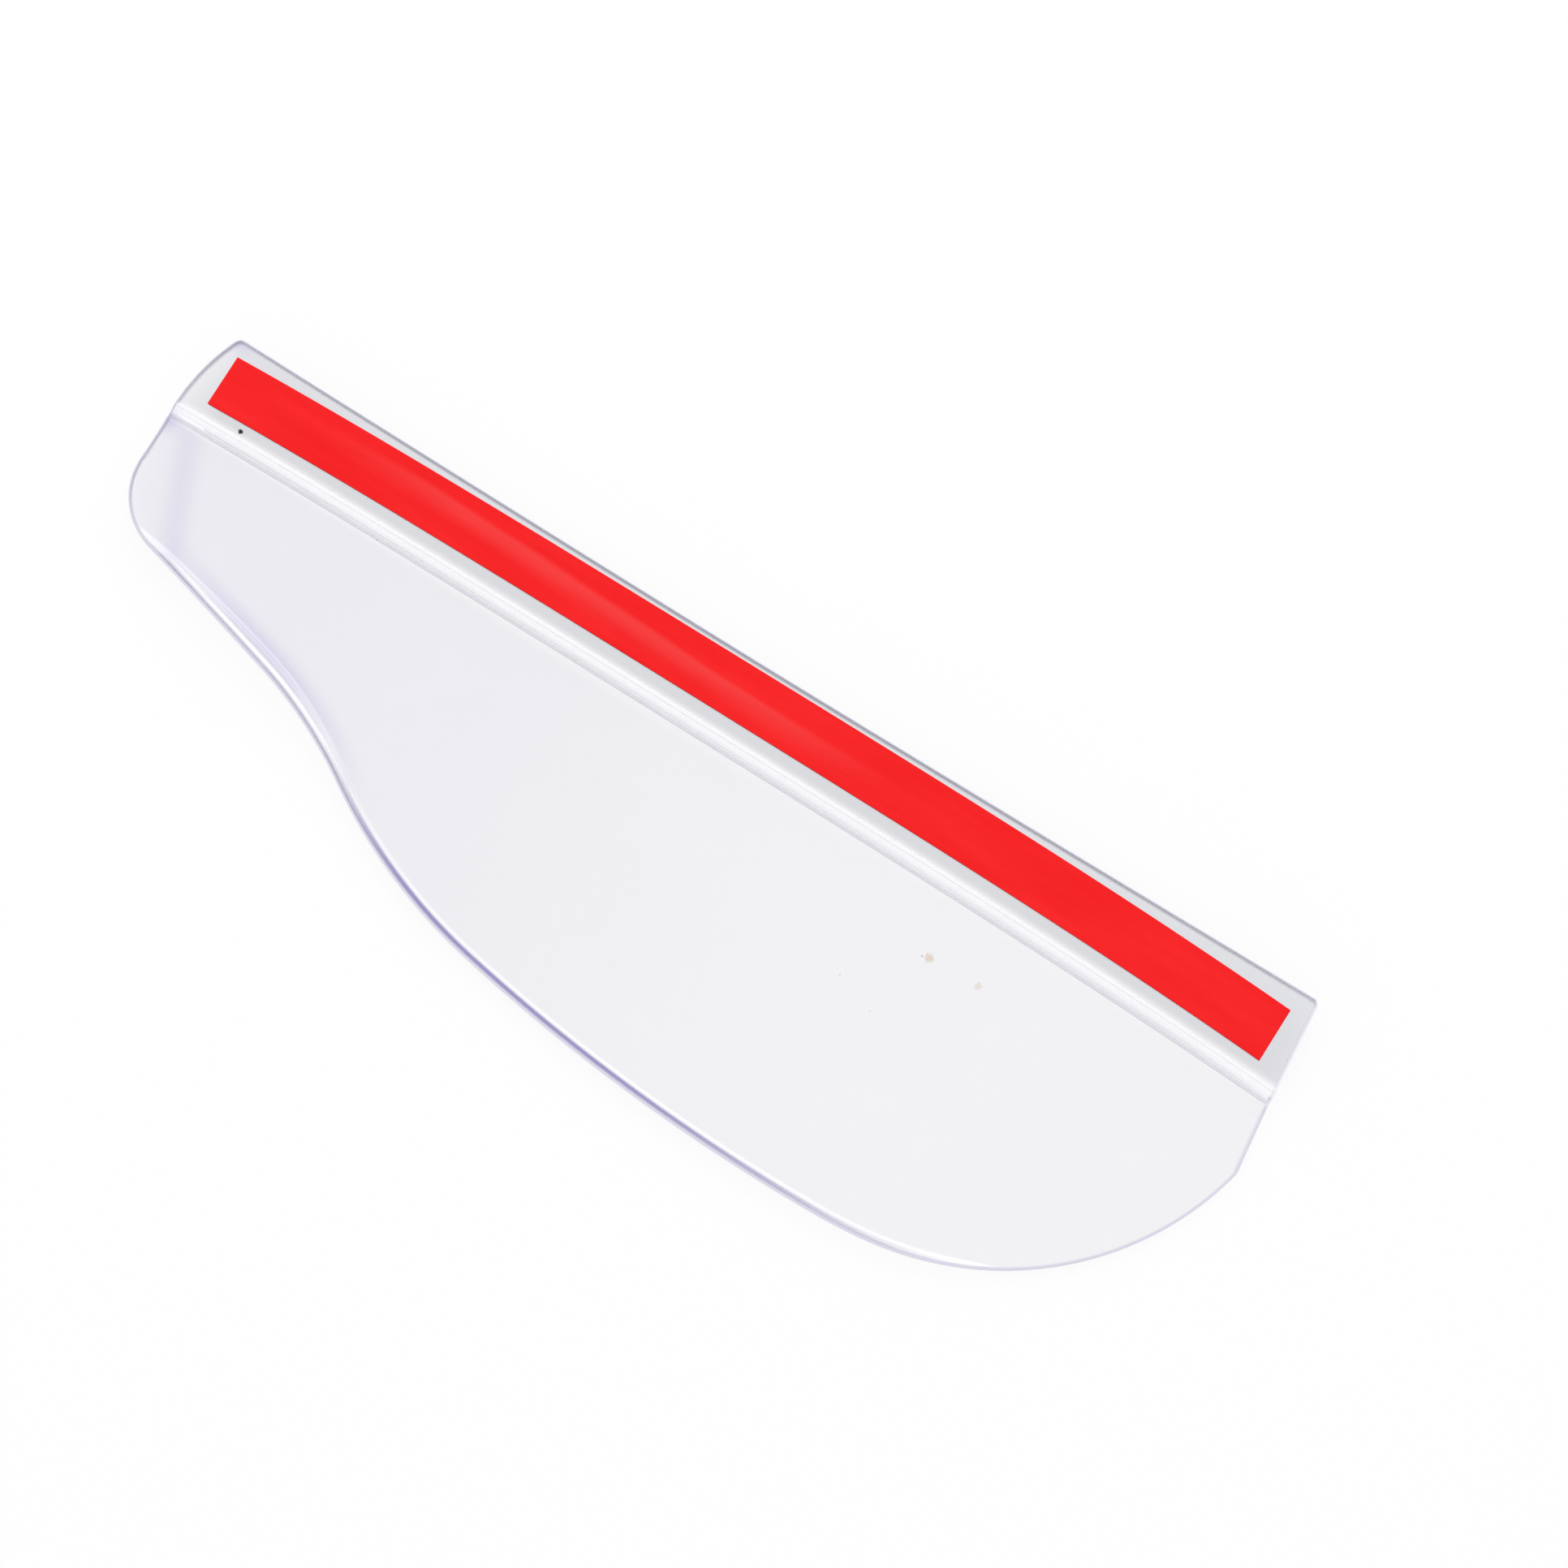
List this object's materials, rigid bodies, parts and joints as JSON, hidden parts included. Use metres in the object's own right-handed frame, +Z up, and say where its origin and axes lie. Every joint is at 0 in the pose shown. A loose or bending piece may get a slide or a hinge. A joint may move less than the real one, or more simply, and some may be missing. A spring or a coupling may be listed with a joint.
{
  "type": "mirror rain guard",
  "caption": "Clear flexible rain guard for a side mirror: a thin blade with a turned-up rim, a locating rib, and a flange with foam tape under a red liner.",
  "frame": {"origin": "middle of the guard's outline, on the surface that it lies on", "axes": "+X along the mirror towards the deep end of the blade, +Y from the blade to the flange, +Z up, on the side that is stuck to the mirror's housing"},
  "size_m": [0.1758, 0.0572, 0.0053],
  "materials": {
    "clear_pvc": "clear soft PVC, glossy, with a faint violet tint at its cut edges",
    "acrylic_foam": "grey closed-cell foam, matt",
    "red_film": "red release film, smooth and slightly glossy"
  },
  "bodies": {
    "root": {"visor": "clear_pvc", "foam_tape": "acrylic_foam", "release_liner": "red_film"}
  },
  "joints": []
}
